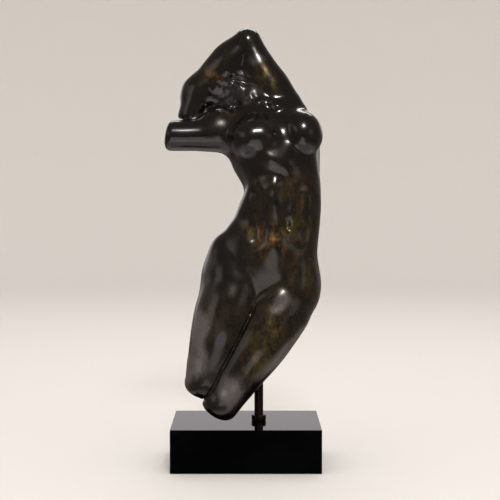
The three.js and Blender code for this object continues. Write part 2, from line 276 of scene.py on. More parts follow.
# %% Ribs, belly and hips
def ribs_belly_hips(d, chest, waist, pelvis):
    d = join(d, egg(chest, (0, 1, -4), (40, 32.5, 46)), 8)
    for side in SIDES:
        m = chest * (side, 1, 1)
        d = join(d, limb(m, (6, -27.5, -20), (21, -20, -42), 5, 4, 1), 13)
    for side in SIDES:
        m = waist * (side, 1, 1)
        d = join(d, limb(m, (10, -15, 30), (9, -16, -10), 9, 9.5, 9), 14)
    d = join(d, egg(waist, (-1, -14, 11), (28, 21, 34)), 12)
    d = join(d, limb(waist, (-1, -14, -10), (-5, -16, -32), 13, 17.5), 12)
    d = join(d, egg(pelvis, (1, -11, 6), (38, 19, 34)), 16)
    d = join(d, egg(pelvis, (0, -17, -25), (15, 12, 15)), 7)
    for side in SIDES:
        m = pelvis * (side, 1, 1)
        d = join(d, egg(m, (25, 17, -12), (27, 27, 32)), 9)
        d = join(d, egg(m, (32, -9, 20), (9, 8, 14)), 18)
    return join(d, egg(pelvis, (-44, -1, 14), (12, 16, 14)), 10)


# %% [markdown]
# ## Legs
# Each leg is four limbs pressed together: the core, the long muscle outside, the one inside, and the
# back of the thigh, with a knee at the end. The two meet in a crisp line in front and run softly into
# the hips outside and behind.

# %% Legs
def leg(p, side):
    hip = HIP[side]
    knee = KNEE[side]
    way = knee - hip

    def along(t, shift):
        return hip + way * t + shift

    d = limb(p, hip, knee, 33, 31, 25, 19.5)
    outward = OUTWARD[side]
    d = join(d, limb(p, along(0.2, (outward, -5, 0)), along(0.8, (side * 3, -4, 0)), 26.5, 25, 16), 10)
    d = join(d, limb(p, along(0.5, (side * -4, -6, 0)), along(0.92, (side * -3, -4, 0)), 14, 16.5, 13), 9)
    d = join(d, limb(p, along(0.25, (side * -5, 8, 0)), along(0.8, (side * -2, 7, 0)), 24, 24, 16), 12)
    d = join(d, egg(p, along(1, (0, -9, 2)), (12, 11, 13)), 9)
    end = unit(unit(way) + (0, 0.35, 0))
    return keep(d, (p - knee) @ end - KNEE_CUT, 9)


def legs_on(d, p, pelvis):
    both = join(leg(p, -1), leg(p, 1), 3.5)
    soft = 4 + 16 * ramp(np.abs(pelvis[:, 0]), 22, 48) + 8 * ramp(pelvis[:, 1], 0, 30)
    return join(d, both, soft)


# %% [markdown]
# ## Chest, shoulders and arms
# The chest muscles, breasts, shoulder blades and collar bones are mirrored in the chest's frame. The
# raised arm folds at the top, its forearm comes down behind the neck and the hand rests behind the
# far shoulder. The other arm is cut off flat.

# %% Chest
def chest_on(d, chest):
    for side in SIDES:
        m = chest * (side, 1, 1)
        d = join(d, limb(m, (8, -22, 14), (29, -5, 32), 9, 11), 13)
        d = join(d, limb(m, (34, 8, 12), (31, 8, -28), 12.5, 10.5, 5), 12)
        d = join(d, egg(m, (24, 25, 14), (17, 10, 24)), 9)
        d = join(d, limb(m, (7, -18.5, 41), (28, -6, 43), 3, 3, 3.5), 8)
    d = join(d, egg(chest, (-4, -18, -3), (19, 15, 20)), 14)
    inward = ramp(chest[:, 0], -34, -10)
    d = join(d, egg(BREAST[-1].local(chest), (0, 0, 0), BREAST_SIZE[-1]), 4.5 + 11 * inward)
    upward = ramp(chest[:, 2], 14, 32)
    return join(d, egg(BREAST[1].local(chest), (0, 0, 0), BREAST_SIZE[1]), 3.5 + 6 * upward)


# %% Arms
def arms_on(d, p):
    up = SHOULDER[1]
    down = SHOULDER[-1]
    d = join(d, limb(p, up, ELBOW, 18, 17.5, 16, 13), 11)
    d = join(d, limb(p, up + (6, -1, 14), ELBOW + (13, -1, -26), 12, 15, 11), 9)
    d = join(d, limb(p, down, STUMP, 20, 17.5, 16, 15.5), 11)
    d = join(d, egg(p, down + (-18, -1, 8), (21, 17, 19.5)), 7)
    forearm = limb(p, ELBOW + (-1, 1, 0), WRIST, 13.5, 19, 18, 15)
    folded = join(forearm, limb(p, WRIST, HAND, 14, 14, 12), 14)
    heel = keep(limb(p, WRIST + (1, -7, 4), HEEL, 14.5, 12.5), HEEL[2] - HEEL_CUT - p[:, 2], 3)
    return join(d, join(folded, heel, 8), 4)


# %% [markdown]
# ## The rough middle and the broken neck
# Between the arms the sculptor left the clay lumpy. The neck stands in front of that mass and ends in
# a break, tilted and uneven.

# %% Rough mass and neck
MASS = (-7, 19, 340)
MASS_WAVE = 1.6


def mass_waves(p):
    """Slow swellings of the rough mass."""
    one = np.sin(p[:, 0] * 0.21 + p[:, 2] * 0.13 + 7)
    other = np.sin(p[:, 2] * 0.24 - p[:, 0] * 0.09 + 11)
    return MASS_WAVE * one * other


def rough_mass(p):
    return egg(p, MASS, (38, 19, 32)) - mass_waves(p)


def neck(p):
    broken = (p - NECK_BREAK) @ BREAK_FACES
    d = keep(limb(p, CHEST.world((-5, 0, 36)), NECK_TOP, 18.5, 15, 11), broken, 3)
    return join(d, limb(p, (13, -9, 322), (30, -8, 317), 6, 5), 5)


# %% [markdown]
# ## Hollows
# The belly's sides and middle line, the navel, the breastbone, the pit of the neck, the spine and
# the cleft of the seat are scooped out last, so that nothing fills them again.

# %% Hollows
def hollows(d, chest, waist, pelvis):
    for side in SIDES:
        m = waist * (side, 1, 1)
        d = cut(d, limb(m, (24, -28, 16), (23, -30, -28), 1.5, 1.5, 1.5), 13)
    d = cut(d, limb(waist, (4, -38.5, 30), (8, -38, -6), 2, 2), 10)
    d = cut(d, egg(waist, (8, -31, -15), (2.4, 4, 4.6)), 6)
    d = cut(d, limb(chest, (7, -40, 8), (3, -32, 35), 3, 2.5), 12)
    d = cut(d, egg(chest, (0, -25, 43), (4, 5, 4)), 8)
    d = cut(d, limb(chest, (0, 43, -46), (0, 39, 26), 5, 5), 10)
    return cut(d, limb(pelvis, (0, 48, -40), (0, 42, 12), 3, 2), 7)


# %% The whole figure
def figure(p):
    """Distance to the whole figure, in millimetres."""
    chest = CHEST.local(p)
    waist = WAIST.local(p)
    pelvis = PELVIS.local(p)
    d = trunk(p)
    d = ribs_belly_hips(d, chest, waist, pelvis)
    d = legs_on(d, p, pelvis)
    d = chest_on(d, chest)
    d = arms_on(d, p)
    d = join(d, rough_mass(p), 12)
    d = join(d, neck(p), 5)
    d = hollows(d, chest, waist, pelvis)
    flat_end = (p - STUMP) @ STUMP_END - STUMP_CUT
    return np.where(p[:, 0] < STUMP_SIDE, keep(d, flat_end, 7), d)


# %% [markdown]
# ## Fine relief
# The solid part's net is 6.5 mm wide, and whatever is finer than that is added here. The clay round
# the broken neck is lumpy. A crease parts the neck from the upper arm, a line parts the legs, and the
# groin has a short crease. Three shallow folds give the light from above something to catch on, and
# the lower belly is a little fuller on one side. The slow swellings of the rough mass are taken away
# behind, where nothing shows what they should look like.

# %% Lumps and folds
LARGE_LUMP = 1.7
SMALL_LUMP = 0.35
FOLD_REACH = 7
# x, height, half width, depth and climb to the right; a depth below zero puts the swelling on top
FOLDS = [
    (24, 273, 13, 1.6, 0),
    (27, 247, 13, 1.3, 0.4),
    (34, 127, 12, -1.0, 0),
]


def lumps(p):
    """Ridges and pits left in the clay, about 2 mm deep."""
    x, y, z = p.T
    large = np.sin(x * 0.33 + z * 0.16 + 1.2 * np.sin(z * 0.2)) * np.sin(z * 0.3 - x * 0.14 + 2)
    small = np.sin(x * 0.95 - z * 0.6 + 2 * np.sin(x * 0.33)) * np.sin(z * 1.05 + y * 0.5 + 1)
    return LARGE_LUMP * large + SMALL_LUMP * small


def fold(p, x, z, wide, deep, rise):
    """A crease across the front with a swelling just as high under it."""
    across = p[:, 0] - x
    up = (p[:, 2] - z - rise * across) / FOLD_REACH
    return deep * up * np.exp((1 - up ** 2) / 2 - (across / wide) ** 2) * ramp(p[:, 1], -10, -25)


# %% The figure with its relief
# place, reach and strength of the lumps
LUMPY = [((-12, -8, 338), 17, 1.0), ((22, -12, 322), 12, 0.3)]
NECK_CREASE = [(-1, -9, 368), (1.5, -8, 352), (11, -12, 331)]
GROIN_CREASE = [(7, -39, 123), (43, -29, 138)]
BELLY_ROLL = (-9, -33, 163)
BELLY_ROLL_HIGH = 2.0
BACK_PLAIN = 1.6
PARTING_SHIFT = 2.0
PARTING_WIDE = 1.6
PARTING_DEEP = 2.4


def relief(p):
    """The figure with the lumps and the sharp creases that the solid leaves out."""
    d = figure(p)
    behind = ramp(p[:, 1], 10, 24) * falloff(p, MASS, (42, 60, 36))
    d = d + np.minimum(BACK_PLAIN * behind, 1) * mass_waves(p)
    near_break = sum(strength * falloff(p, place, reach) for place, reach, strength in LUMPY)
    d = d + np.clip(near_break, 0, 1) * lumps(p)
    d = cut(d, limb(p, NECK_CREASE[0], NECK_CREASE[1], 1.5, 2.5), 3)
    d = cut(d, limb(p, NECK_CREASE[1], NECK_CREASE[2], 2.5, 3.5), 4)
    d = cut(d, limb(p, *GROIN_CREASE, 0.4, 0.8, 0.3), 3.5)
    d = d + sum(fold(p, *shape) for shape in FOLDS)
    d = d - BELLY_ROLL_HIGH * falloff(p, BELLY_ROLL, (15, 30, 9))
    between = leg(p, -1) - leg(p, 1) - PARTING_SHIFT
    parting = np.exp(-(between / PARTING_WIDE) ** 2)
    parting = parting * ramp(p[:, 2], 126, 112) * ramp(p[:, 1], -12, -24)
    return d + PARTING_DEEP * parting


# %% [markdown]
# ## From a formula to a mesh
# The formula is read on a grid, first coarsely everywhere and then finely only near the surface. Each
# grid cell that the surface crosses gets one point, and each grid edge that it crosses gets one
# four-sided face, which gives an even net of quads. Two rounds of smoothing even out the net, and
# each is followed by a step that lays the points back on the formula's surface.

# %% Read the formula near the surface
LOW = np.array((-95.0, -70.0, -8.0))
HIGH = np.array((95.0, 70.0, 412.0))
FAR_REACH = 1.6
NEAR_REACH = 0.75


def refined(values, form, step, reach):
    """The same values on a grid twice as fine, exact within `reach` of the surface."""
    for axis in range(3):
        n = values.shape[axis]
        middle = (np.take(values, range(n - 1), axis) + np.take(values, range(1, n), axis)) / 2
        shape = list(values.shape)
        shape[axis] = 2 * n - 1
        fine = np.empty(shape)
        even = [slice(None)] * 3
        odd = [slice(None)] * 3
        even[axis] = slice(0, None, 2)
        odd[axis] = slice(1, None, 2)
        fine[tuple(even)] = values
        fine[tuple(odd)] = middle
        values = fine
    near = np.abs(values) < reach
    points = LOW + np.argwhere(near) * step
    values[near] = form(points)
    return values


def read_near(form, step):
    """Values on a grid of the given step.

    There are three grids, each twice as fine as the one before. The far and near reaches, counted in
    steps of the first grid, are wide enough for the surface not to slip out between two of them.
    """
    coarse = step * 4
    counts = np.ceil((HIGH - LOW) / coarse).astype(int) + 1
    axes = [LOW[i] + coarse * np.arange(counts[i]) for i in range(3)]
    grid = np.stack(np.meshgrid(*axes, indexing="ij"), -1).reshape(-1, 3)
    values = form(grid).reshape(counts)
    values = refined(values, form, step * 2, coarse * FAR_REACH)
    return refined(values, form, step, coarse * NEAR_REACH)


# %% Points and faces of the net
def net(values, step):
    """One point in every crossed cell and one quad for every crossed grid edge."""
    inside = values < 0
    size = np.array(values.shape)
    total = np.zeros((*(size - 1), 3))
    count = np.zeros(size - 1)
    rings = []
    for axis in range(3):
        one, two = [k for k in range(3) if k != axis]
        moved = np.moveaxis(inside, axis, 0)
        change = np.moveaxis(moved[:-1] != moved[1:], 0, axis)
        here = np.argwhere(change)
        there = here.copy()
        there[:, axis] += 1
        a = values[tuple(here.T)]
        b = values[tuple(there.T)]
        crossing = here.astype(float)
        crossing[:, axis] += a / (a - b)
        cells = []
        for d_one, d_two in ((-1, -1), (0, -1), (0, 0), (-1, 0)):
            cell = here.copy()
            cell[:, one] += d_one
            cell[:, two] += d_two
            np.add.at(total, tuple(cell.T), crossing)
            np.add.at(count, tuple(cell.T), 1)
            cells.append(cell)
        outward = (a < 0) == (axis != 1)
        rings.append((cells, outward))
    used = np.argwhere(count > 0)
    number = np.full(size - 1, -1)
    number[tuple(used.T)] = np.arange(len(used))
    points = total[tuple(used.T)] / count[tuple(used.T)][:, None]
    quads = []
    for cells, outward in rings:
        quad = np.stack([number[tuple(cell.T)] for cell in cells], 1)
        quad[~outward] = quad[~outward][:, ::-1]
        quads.append(quad)
    return LOW + points * step, np.concatenate(quads)


# %% Settle the net on the surface
def settle(form, points, quads, rounds):
    """Evens the net, then lays every point back on the surface."""
    reach = 0.05
    for _ in range(rounds):
        total = np.zeros_like(points)
        count = np.zeros(len(points))
        for i in range(4):
            a = quads[:, i]
            b = quads[:, (i + 1) % 4]
            for axis in range(3):
                total[:, axis] += np.bincount(a, points[b, axis], len(points))
                total[:, axis] += np.bincount(b, points[a, axis], len(points))
            count += np.bincount(a, minlength=len(points)) + np.bincount(b, minlength=len(points))
        points = (points + total / count[:, None]) / 2
        value = form(points)
        slope = np.stack([(form(points + reach * np.eye(3)[k]) - value) / reach for k in range(3)], 1)
        steep = np.maximum((slope ** 2).sum(1), 0.05)
        points = points - (value / steep)[:, None] * slope
    return points


NET_STEP = 1.4
points, quads = net(read_near(relief, NET_STEP), NET_STEP)
points = settle(relief, points, quads, 2)
print("figure:", len(points), "points,", len(quads), "quads, from", points.min(0).round(1),
      "to", points.max(0).round(1))

# %% [markdown]
# ## Where the bronze is rough, rubbed and worn, and where a reflection is painted
# Four values are kept at every point of the mesh. `rough` is high on the lumpy mass and on the break
# of the neck. `rub` is high where hands and cloth have thinned the dark patina down to gold, and
# `worn` in the wider places where it has only faded to olive brown. The fourth value is high where a
# grey reflection of the room is painted into the colour, and where the wax coat is made duller.
# Values on points stay with the metal when the piece moves, and a material reads them by name.

# %% Places
# place, reach and strength, in millimetres over the plinth's top
RUBBED = [
    ((56, -28, 200), 15, 1.0),
    ((48, -32, 238), 20, 0.45),
    ((34, -34, 192), 13, 0.9),
    ((24, -34, 176), 16, 0.6),
    ((6, -30, 196), 14, 0.6),
    ((12, -30, 240), 10, 0.5),
    ((60, -20, 156), 20, 0.7),
    ((60, -14, 116), 20, 0.5),
    ((10, -46, 62), 15, 1.3),
    ((17, -43, 84), 15, 1.0),
    ((28, -40, 106), 16, 0.7),
    ((-34, -34, 112), 18, 0.45),
    ((23, -8, 342), 10, 0.95),
    ((17, -6, 360), 10, 0.5),
    ((-34, 0, 352), 13, 0.7),
    ((-22, 4, 368), 11, 0.5),
    ((8, 4, 392), 12, 0.4),
    ((-19, -14, 316), 11, 0.6),
]
# the same for the wider places where the dark colour has only faded
WORN = [
    ((50, -25, 215), 42, 1.0),
    ((66, -10, 150), 45, 0.8),
    ((20, -35, 90), 42, 1.0),
    ((20, -35, 190), 30, 0.8),
    ((-38, 0, 355), 20, 0.5),
    ((22, -5, 350), 18, 0.5),
    ((-40, -25, 110), 34, 0.7),
]
# the same for places where a grey reflection is painted into the colour and the wax is made duller
PAINTED_REFLECTIONS = [
    ((-48, -30, 62), 26, 1.0),
    ((-44, -28, 104), 21, 0.85),
    ((-45, -18, 140), 18, 0.7),
    ((-38, -8, 168), 16, 0.5),
    ((-12, -50, 32), 20, 0.9),
    ((20, -42, 46), 12, 0.8),
    ((31, -36, 60), 12, 0.9),
    ((41, -30, 76), 12, 1.0),
    ((51, -22, 90), 12, 1.0),
    ((61, -10, 106), 13, 0.9),
    ((34, -38, 127), 13, 0.8),
    ((-60, -14, 288), 20, 0.3),
    ((12, -4, 366), 13, 0.7),
]


def spread(places):
    """The places' strengths at every point, added up and held between 0 and 1."""
    total = sum(strength * falloff(points, place, reach) for place, reach, strength in places)
    return np.clip(total, 0, 1)


# %% Rough places
on_rough = 1 - ramp(join(rough_mass(points), neck(points), 3), 0.3, 5)
on_rough *= ramp(points[:, 2], 312, 326) * falloff(points, (-6, -6, 342), 30)
print("rough share", round(float(on_rough.mean()), 3))


# %% Make the mesh
def mesh_from(name, points, quads):
    mesh = bpy.data.meshes.new(name)
    mesh.from_pydata((points * MM + (0, 0, PLINTH_TOP)).tolist(), [], quads.tolist())
    mesh.shade_smooth()
    return mesh


def keep_values(mesh, name, values):
    layer = mesh.attributes.new(name, "FLOAT", "POINT")
    layer.data.foreach_set("value", np.asarray(values, np.float32))


torso = bpy.data.objects.new("bronze_torso", mesh_from("bronze_torso", points, quads))
scene.collection.objects.link(torso)
keep_values(torso.data, "rub", spread(RUBBED))
keep_values(torso.data, "worn", spread(WORN))
# where a grey reflection of the room is painted into the colour, with a duller wax coat
keep_values(torso.data, "painted_reflection", spread(PAINTED_REFLECTIONS))
keep_values(torso.data, "rough", np.clip(on_rough, 0, 1))

# %% [markdown]
# ## The bronze's patina
# Bronze like this is chemically blackened, then waxed until it shines, so it reflects twice: softly
# from the metal and sharply from the wax. The dark colour is thin and has gone in streaks, where
# green gold and orange show through. In some places a grey reflection of the room is painted into
# the colour, with a less metallic and duller wax there. The coat of the Principled shader is the wax,
# and noise on the object's own coordinates, stretched upwards, gives the streaks.

# %% Small helpers for node trees
def new_material(name):
    material = bpy.data.materials.new(name)
    material.use_nodes = True
    tree = material.node_tree
    return material, tree, tree.nodes["Principled BSDF"]


def add_node(tree, kind, **settings):
    node = tree.nodes.new(kind)
    for key, value in settings.items():
        if key in node.inputs:
            node.inputs[key].default_value = value
        else:
            setattr(node, key, value)
    return node


def noise_on(tree, where, stretch, scale, detail=3.0, rough=0.55):
    """Noise on object coordinates, stretched by a mapping."""
    mapping = add_node(tree, "ShaderNodeMapping", Scale=stretch)
    noise = add_node(tree, "ShaderNodeTexNoise", Scale=scale, Detail=detail, Roughness=rough)
    tree.links.new(where, mapping.inputs["Vector"])
    tree.links.new(mapping.outputs["Vector"], noise.inputs["Vector"])
    return noise.outputs["Fac"]


def mapped(tree, value, low, high, to_low=0.0, to_high=1.0):
    """A value brought from one range to another, and held there."""
    node = add_node(tree, "ShaderNodeMapRange", interpolation_type="SMOOTHSTEP")
    node.inputs["From Min"].default_value = low
    node.inputs["From Max"].default_value = high
    node.inputs["To Min"].default_value = to_low
    node.inputs["To Max"].default_value = to_high
    tree.links.new(value, node.inputs["Value"])
    return node.outputs["Result"]


def combined(tree, operation, a, b):
    """Two values put through one sum; either may be a plain number."""
    node = add_node(tree, "ShaderNodeMath", operation=operation)
    for socket, value in zip(node.inputs, (a, b)):
        if isinstance(value, (int, float)):
            socket.default_value = value
        else:
            tree.links.new(value, socket)
    return node.outputs["Value"]


def blended(tree, amount, a, b):
    """Colour a, going to colour b with the amount."""
    node = add_node(tree, "ShaderNodeMix", data_type="RGBA")
    tree.links.new(amount, node.inputs["Factor"])
    colours = [socket for socket in node.inputs if socket.type == "RGBA"]
    for socket, value in zip(colours, (a, b)):
        if isinstance(value, tuple):
            socket.default_value = (*value, 1)
        else:
            tree.links.new(value, socket)
    return next(socket for socket in node.outputs if socket.type == "RGBA")


# %% Bronze material
BLACK_BROWN = (0.012, 0.0095, 0.008)
WARM_BROWN = (0.03, 0.021, 0.013)
GREEN_GOLD = (0.15, 0.12, 0.016)
ORANGE_GOLD = (0.3, 0.14, 0.035)
OLIVE_BROWN = (0.06, 0.04, 0.014)
BROKEN_GREY = (0.05, 0.04, 0.04)
# the grey of a reflection of the room, painted into the colour where the mesh marks it
PAINTED_REFLECTION_GREY = (0.125, 0.108, 0.104)


def bronze_material():
    """Dark patina, worn to gold in `rub`, to olive in `worn`, greyed in `rough`, with a grey reflection
    painted in where the mesh marks it.
    """
    material, tree, shader = new_material("black_waxed_bronze")
    where = add_node(tree, "ShaderNodeTexCoord").outputs["Object"]
    rub = add_node(tree, "ShaderNodeAttribute", attribute_name="rub").outputs["Fac"]
    wide = add_node(tree, "ShaderNodeAttribute", attribute_name="worn").outputs["Fac"]
    painted_reflection = add_node(tree, "ShaderNodeAttribute", attribute_name="painted_reflection").outputs["Fac"]
    rough = add_node(tree, "ShaderNodeAttribute", attribute_name="rough").outputs["Fac"]

    clouds = noise_on(tree, where, (1, 1, 0.6), 38, 4)
    streaks = noise_on(tree, where, (1, 1, 0.6), 120, 7, 0.68)
    specks = noise_on(tree, where, (1, 1, 0.75), 400, 5, 0.7)

    thin = combined(tree, "MULTIPLY", rub, mapped(tree, streaks, 0.36, 0.66))
    thin = combined(tree, "MULTIPLY", thin, mapped(tree, clouds, 0.3, 0.6, 0.35, 1))
    bright = combined(tree, "MULTIPLY", thin, mapped(tree, specks, 0.45, 0.7))
    hue = mapped(tree, noise_on(tree, where, (1, 1, 0.7), 42, 3), 0.44, 0.62)

    base = blended(tree, mapped(tree, clouds, 0.4, 0.7, 0, 0.55), BLACK_BROWN, WARM_BROWN)
    gold = blended(tree, hue, GREEN_GOLD, ORANGE_GOLD)
    worn = combined(tree, "MULTIPLY", mapped(tree, wide, 0.05, 0.8), mapped(tree, streaks, 0.3, 0.62))
    colour = blended(tree, mapped(tree, worn, 0, 1, 0, 0.5), base, OLIVE_BROWN)
    colour = blended(tree, mapped(tree, thin, 0.0, 0.8, 0, 0.5), colour, gold)
    colour = blended(tree, mapped(tree, bright, 0.05, 0.6), colour, gold)
    colour = blended(tree, mapped(tree, rough, 0, 1, 0, 0.6), colour, BROKEN_GREY)
    # painted reflection: grey, less metallic and with a duller coat where the mesh marks it, broken up by
    # the clouds
    painted_grey = combined(tree, "SUBTRACT", painted_reflection, mapped(tree, clouds, 0.35, 0.65, 0, 0.35))
    painted_grey = mapped(tree, painted_grey, 0.0, 0.85)
    colour = blended(tree, mapped(tree, painted_grey, 0, 1, 0, 0.85), colour, PAINTED_REFLECTION_GREY)
    tree.links.new(colour, shader.inputs["Base Color"])
    tree.links.new(mapped(tree, painted_grey, 0, 1, 0.85, 0.35), shader.inputs["Metallic"])

    dull = mapped(tree, streaks, 0.35, 0.7, 0.26, 0.4)
    dull = combined(tree, "ADD", dull, mapped(tree, rough, 0, 1, 0, 0.08))
    tree.links.new(dull, shader.inputs["Roughness"])
    sheen = mapped(tree, clouds, 0.35, 0.7, 0.14, 0.2)
    sheen = combined(tree, "ADD", sheen, mapped(tree, rough, 0, 1, 0, 0.12))
    sheen = combined(tree, "ADD", sheen, mapped(tree, painted_grey, 0, 1, 0, 0.14))
    tree.links.new(sheen, shader.inputs["Coat Roughness"])
    shader.inputs["Specular IOR Level"].default_value = 0.25
    shader.inputs["Coat Weight"].default_value = 1.0
    shader.inputs["Coat IOR"].default_value = 1.6

    grain = combined(tree, "MULTIPLY", noise_on(tree, where, (1, 1, 1), 900, 3), 0.25)
    broken = combined(tree, "MULTIPLY", rough, noise_on(tree, where, (1, 1, 1), 260, 3))
    height = combined(tree, "ADD", grain, broken)
    bump = add_node(tree, "ShaderNodeBump", Strength=0.35, Distance=0.0004)
    tree.links.new(height, bump.inputs["Height"])
    tree.links.new(bump.outputs["Normal"], shader.inputs["Normal"])
    return material


bronze = bronze_material()

# %% [markdown]
# ## The skin of the casting
# A cast and chased surface is never as even as a formula. A Geometry Nodes tree moves every point a
# little along its normal: long, shallow waves all over, and a deeper broken texture where `rough` is
# high. A tree suits this because depth and scale, in metres, stay named inputs.

# %% Geometry Nodes tree for the skin
SKIN = {"Wave depth": 0.0016, "Wave scale": 26.0, "Rough depth": 0.0028, "Rough scale": 48.0}


def group_input(tree, name, value):
    socket = tree.interface.new_socket(name, in_out="INPUT", socket_type="NodeSocketFloat")
    socket.default_value = value
    return socket.identifier


def skin_tree(material):
    tree = bpy.data.node_groups.new("cast_skin", "GeometryNodeTree")
    tree.interface.new_socket("Geometry", in_out="INPUT", socket_type="NodeSocketGeometry")
    tree.interface.new_socket("Geometry", in_out="OUTPUT", socket_type="NodeSocketGeometry")
    ids = {name: group_input(tree, name, value) for name, value in SKIN.items()}
    inputs = tree.nodes.new("NodeGroupInput").outputs
    output = tree.nodes.new("NodeGroupOutput")
    link = tree.links.new

    def waves(scale_name, detail):
        noise = add_node(tree, "ShaderNodeTexNoise", Detail=detail)
        link(inputs[scale_name], noise.inputs["Scale"])
        return combined(tree, "SUBTRACT", noise.outputs["Fac"], 0.5)

    long_waves = combined(tree, "MULTIPLY", waves("Wave scale", 1.0), inputs["Wave depth"])
    broken = combined(tree, "MULTIPLY", waves("Rough scale", 2.5), inputs["Rough depth"])
    where_rough = add_node(tree, "GeometryNodeInputNamedAttribute", data_type="FLOAT")
    where_rough.inputs["Name"].default_value = "rough"
    broken = combined(tree, "MULTIPLY", broken, where_rough.outputs["Attribute"])
    height = combined(tree, "ADD", long_waves, broken)

    along = add_node(tree, "ShaderNodeVectorMath", operation="SCALE")
    link(tree.nodes.new("GeometryNodeInputNormal").outputs["Normal"], along.inputs[0])
    link(height, along.inputs["Scale"])
    moved = tree.nodes.new("GeometryNodeSetPosition")
    link(inputs["Geometry"], moved.inputs["Geometry"])
    link(along.outputs[0], moved.inputs["Offset"])
    real = tree.nodes.new("GeometryNodeRealizeInstances")
    link(moved.outputs["Geometry"], real.inputs["Geometry"])
    finish = add_node(tree, "GeometryNodeSetMaterial")
    finish.inputs["Material"].default_value = material
    link(real.outputs["Geometry"], finish.inputs["Geometry"])
    link(finish.outputs["Geometry"], output.inputs["Geometry"])
    return tree, ids


tree, ids = skin_tree(bronze)
skin = torso.modifiers.new("skin", "NODES")
skin.node_group = tree
for name, value in SKIN.items():
    skin[ids[name]] = value


# %% Turn the result into a plain mesh
def made_plain(piece):
    """The piece's evaluated mesh takes the place of its modifiers."""
    graph = bpy.context.evaluated_depsgraph_get()
    mesh = bpy.data.meshes.new_from_object(piece.evaluated_get(graph))
    piece.modifiers.clear()
    piece.data = mesh


made_plain(torso)
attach(torso, BODY)
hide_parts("torso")
print("torso faces", len(torso.data.polygons))


# %% [markdown]
# ## The plinth
# A sawn and polished block has edges that are only just broken. The mesh is a box with a small
# bevel in three facets, flat-shaded, so that the faces stay true mirrors and only the edges catch a
# thin line of light. The hole for the rod isn't seen.

# %% Plinth mesh
EDGE = 0.6 * MM


def block(name, low, high, edge):
    mesh = bpy.data.meshes.new(name)
    b = bmesh.new()
    bmesh.ops.create_cube(b, size=1)
    for v in b.verts:
        v.co = [low[k] if v.co[k] < 0 else high[k] for k in range(3)]
    bmesh.ops.bevel(b, geom=b.edges[:], offset=edge, segments=3, affect="EDGES", profile=0.5)
    bmesh.ops.recalc_face_normals(b, faces=b.faces)
    b.to_mesh(mesh)
    b.free()
    piece = bpy.data.objects.new(name, mesh)
    scene.collection.objects.link(piece)
    return piece


# %% Black stone
STONE_BLACK = (0.0006, 0.0006, 0.0007)
STONE_CLOUD = (0.0014, 0.0014, 0.0015)
STONE_FLECK = (0.006, 0.006, 0.0063)


def stone_material():
    material, tree, shader = new_material("polished_black_stone")
    where = add_node(tree, "ShaderNodeTexCoord").outputs["Object"]
    fleck = noise_on(tree, where, (1, 1, 1), 800, 4, 0.7)
    cloud = noise_on(tree, where, (1, 0.4, 1), 26, 4)
    colour = blended(tree, mapped(tree, cloud, 0.4, 0.7), STONE_BLACK, STONE_CLOUD)
    colour = blended(tree, mapped(tree, fleck, 0.62, 0.75, 0, 0.5), colour, STONE_FLECK)
    tree.links.new(colour, shader.inputs["Base Color"])
    tree.links.new(mapped(tree, cloud, 0.3, 0.7, 0.05, 0.1), shader.inputs["Roughness"])
    shader.inputs["IOR"].default_value = 1.36
    return material


plinth = block("stone_plinth", plinth_low, plinth_high, EDGE)
plinth.data.materials.append(stone_material())
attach(plinth, BODY)
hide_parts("plinth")
print("plinth", [round(v / MM, 1) for v in plinth_high - plinth_low], "mm")

# %% [markdown]
# ## The rod and its collar
# Both are turned on a lathe, so each is a profile spun round an upright line. The rod is plain bar;
# the collar has broken edges and sits on the stone.

# %% Turned pieces
SHARP = 20 * RAD


def ring(mesh, x, y, radius, height, sides):
    """A ring of points round an upright line, or the one point on it."""
    if radius == 0:
        return [mesh.verts.new((x, y, height))]
    turn = [2 * math.pi * k / sides for k in range(sides)]
    return [mesh.verts.new((x + radius * math.cos(a), y + radius * math.sin(a), height)) for a in turn]


def skirt(mesh, lower, upper, sides):
    """Faces between two rings, triangles where one of them is a point."""
    for k in range(sides):
        n = (k + 1) % sides
        corners = [lower[k % len(lower)], lower[n % len(lower)]]
        corners += [upper[n % len(upper)], upper[k % len(upper)]]
        mesh.faces.new(list(dict.fromkeys(corners)))


def turned(name, profile, x, y, sides=64):
    """A closed profile of (radius, height) points, spun round the upright line at x, y."""
    mesh = bpy.data.meshes.new(name)
    b = bmesh.new()
    rings = [ring(b, x, y, radius, height, sides) for radius, height in profile]
    has_bore = profile[0][0] != 0
    if has_bore:
        rings.append(rings[0])
    for lower, upper in zip(rings, rings[1:]):
        skirt(b, lower, upper, sides)
    bmesh.ops.recalc_face_normals(b, faces=b.faces)
    b.to_mesh(mesh)
    b.free()
    mesh.shade_smooth()
    mesh.set_sharp_from_angle(angle=SHARP)
    piece = bpy.data.objects.new(name, mesh)
    scene.collection.objects.link(piece)
    return piece


def rounded_corner(radius, height, bevel, quarter, steps=6):
    """A rounded outer corner: quarter 0 turns from below outwards, 1 from the side to the top."""
    found = []
    for k in range(steps + 1):
        a = (k / steps + (quarter - 1)) * math.pi / 2
        centre = height + bevel if quarter == 0 else height - bevel
        found.append((radius - bevel + bevel * math.cos(a), centre + bevel * math.sin(a)))
    return found


ROD_RADIUS = (rod_high.x - rod_low.x) / 2
ROD_X = (rod_high.x + rod_low.x) / 2
ROD_Y = (rod_high.y + rod_low.y) / 2
COLLAR_RADIUS = (collar_high.x - collar_low.x) / 2
COLLAR_EDGE = 0.8 * MM
ROD_GAP = 0.3 * MM

